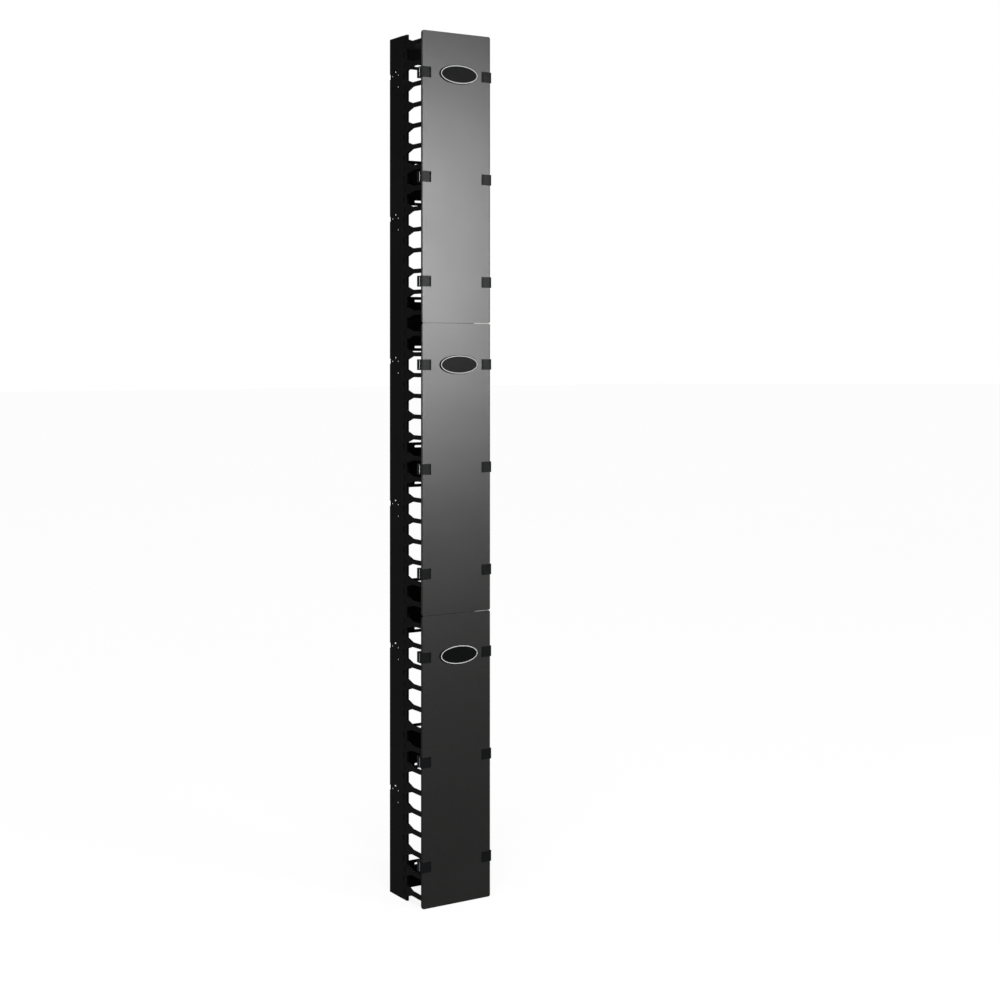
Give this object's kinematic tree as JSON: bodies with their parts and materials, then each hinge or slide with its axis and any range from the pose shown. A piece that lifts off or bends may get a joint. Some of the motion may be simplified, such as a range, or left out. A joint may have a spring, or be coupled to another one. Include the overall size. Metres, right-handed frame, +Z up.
{
  "type": "vertical cable manager",
  "caption": "Tall open cable manager for a rack post: steel backbone, finger ducts on both sides and flat covers that hinge at either edge and lift off.",
  "frame": {"origin": "middle of the width and depth, on the line of the lowest end", "axes": "+X across towards the rack post that carries the buttons, +Y to the open back, +Z up; the covers face -Y"},
  "size_m": [0.1786, 0.1506, 1.8669],
  "materials": {
    "black_steel": "black powder coat, satin, fine texture",
    "duct_plastic": "black moulded plastic, satin, faint mould texture",
    "cover_paint": "smooth satin black paint",
    "clip_plastic": "glossy black moulded plastic",
    "badge_plastic": "glossy black with a thin silver line",
    "pin_steel": "bright zinc",
    "button_steel": "bright zinc",
    "screw_black": "black oxide",
    "nut_steel": "bright zinc"
  },
  "bodies": {
    "root": {"backbone_bottom": "black_steel", "backbone_middle": "black_steel", "backbone_top": "black_steel", "duct_left_bottom": "duct_plastic", "duct_left_middle": "duct_plastic", "duct_left_top": "duct_plastic", "duct_right_bottom": "duct_plastic", "duct_right_middle": "duct_plastic", "duct_right_top": "duct_plastic", "hinge_bases_left_bottom": "clip_plastic", "hinge_bases_left_middle": "clip_plastic", "hinge_bases_left_top": "clip_plastic", "hinge_bases_right_bottom": "clip_plastic", "hinge_bases_right_middle": "clip_plastic", "hinge_bases_right_top": "clip_plastic", "hinge_pins_left_bottom": "pin_steel", "hinge_pins_left_middle": "pin_steel", "hinge_pins_left_top": "pin_steel", "button_plates_bottom": "black_steel", "button_plates_middle": "black_steel", "button_plates_top": "black_steel", "mounting_buttons_bottom": "button_steel", "mounting_buttons_middle": "button_steel", "mounting_buttons_top": "button_steel", "plate_screws_bottom": "screw_black", "plate_screws_middle": "screw_black", "plate_screws_top": "screw_black", "plate_nuts_bottom": "nut_steel", "plate_nuts_middle": "nut_steel", "plate_nuts_top": "nut_steel"},
    "right_pins_bottom": {"hinge_pins_right_bottom": "pin_steel"},
    "cover_bottom": {"cover_bottom": "cover_paint", "cover_clips_left_bottom": "clip_plastic", "cover_clips_right_bottom": "clip_plastic", "badge_bottom": "badge_plastic"},
    "right_pins_middle": {"hinge_pins_right_middle": "pin_steel"},
    "cover_middle": {"cover_middle": "cover_paint", "cover_clips_left_middle": "clip_plastic", "cover_clips_right_middle": "clip_plastic", "badge_middle": "badge_plastic"},
    "right_pins_top": {"hinge_pins_right_top": "pin_steel"},
    "cover_top": {"cover_top": "cover_paint", "cover_clips_left_top": "clip_plastic", "cover_clips_right_top": "clip_plastic", "badge_top": "badge_plastic"}
  },
  "joints": [
    {"name": "bottom_cover_right_hinge", "type": "hinge", "parent": "root", "child": "right_pins_bottom", "pos_m": [0.084, -0.0625, 0.31115], "axis": [0, 0, 1], "range_deg": [0, 120]},
    {"name": "bottom_cover_left_hinge", "type": "hinge", "parent": "right_pins_bottom", "child": "cover_bottom", "pos_m": [-0.084, -0.0625, 0.31115], "axis": [0, 0, 1], "range_deg": [-120, 0]},
    {"name": "middle_cover_right_hinge", "type": "hinge", "parent": "root", "child": "right_pins_middle", "pos_m": [0.084, -0.0625, 0.93345], "axis": [0, 0, 1], "range_deg": [0, 120]},
    {"name": "middle_cover_left_hinge", "type": "hinge", "parent": "right_pins_middle", "child": "cover_middle", "pos_m": [-0.084, -0.0625, 0.93345], "axis": [0, 0, 1], "range_deg": [-120, 0]},
    {"name": "top_cover_right_hinge", "type": "hinge", "parent": "root", "child": "right_pins_top", "pos_m": [0.084, -0.0625, 1.55575], "axis": [0, 0, 1], "range_deg": [0, 120]},
    {"name": "top_cover_left_hinge", "type": "hinge", "parent": "right_pins_top", "child": "cover_top", "pos_m": [-0.084, -0.0625, 1.55575], "axis": [0, 0, 1], "range_deg": [-120, 0]}
  ]
}
